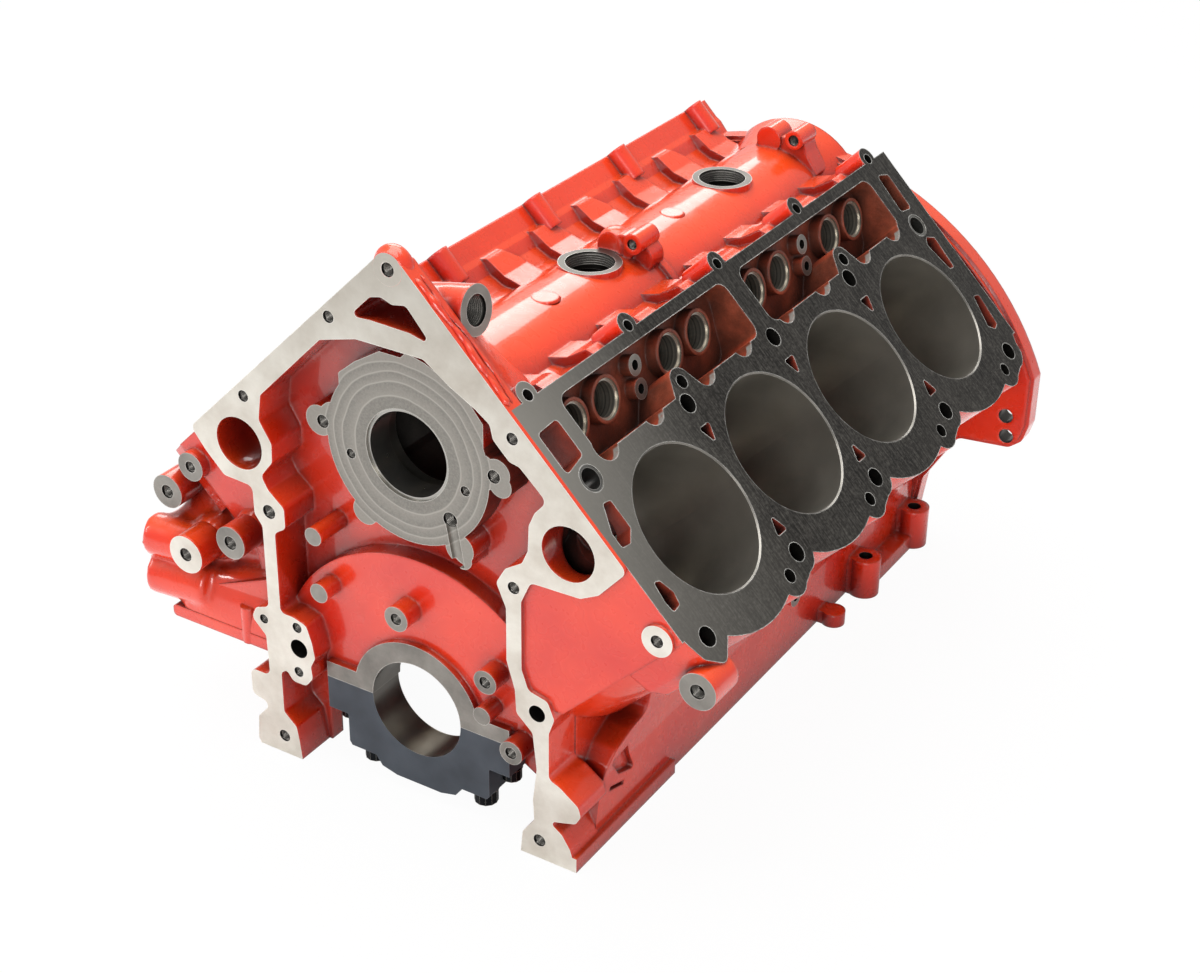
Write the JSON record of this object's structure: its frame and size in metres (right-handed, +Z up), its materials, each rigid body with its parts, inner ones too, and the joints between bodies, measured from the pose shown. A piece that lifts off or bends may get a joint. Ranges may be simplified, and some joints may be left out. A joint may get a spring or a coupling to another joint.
{
  "type": "engine block",
  "caption": "Bare V8 cylinder block in red paint with machined decks, lifter pockets, timing case, valley bosses and bolted main bearing caps.",
  "frame": {"origin": "on the crankshaft axis, in the front face of the first main bearing", "axes": "+Z up, +Y to the rear along the crankshaft axis, +X to the viewer's right when the front is looked at"},
  "size_m": [0.451, 0.534, 0.3921],
  "materials": {
    "red_paint": "gloss",
    "cap_iron": "satin",
    "black_bolt": "satin",
    "bearing_metal": "satin",
    "plug_steel": "satin",
    "dowel_steel": "polished"
  },
  "bodies": {
    "root": {"cylinder_block": "red_paint", "main_cap_1": "cap_iron", "inner_cap_bolts_1": "black_bolt", "outer_cap_bolts_1": "black_bolt", "cam_bearing_1": "bearing_metal", "main_cap_2": "cap_iron", "inner_cap_bolts_2": "black_bolt", "outer_cap_bolts_2": "black_bolt", "cam_bearing_2": "bearing_metal", "main_cap_3": "cap_iron", "inner_cap_bolts_3": "black_bolt", "outer_cap_bolts_3": "black_bolt", "cam_bearing_3": "bearing_metal", "main_cap_4": "cap_iron", "inner_cap_bolts_4": "black_bolt", "outer_cap_bolts_4": "black_bolt", "cam_bearing_4": "bearing_metal", "main_cap_5": "cap_iron", "inner_cap_bolts_5": "black_bolt", "outer_cap_bolts_5": "black_bolt", "cam_bearing_5": "bearing_metal", "core_plugs_left": "plug_steel", "core_plugs_right": "plug_steel", "cam_rear_plug": "plug_steel", "head_dowels_left": "dowel_steel", "head_dowels_right": "dowel_steel", "bell_dowels": "dowel_steel"}
  },
  "joints": []
}
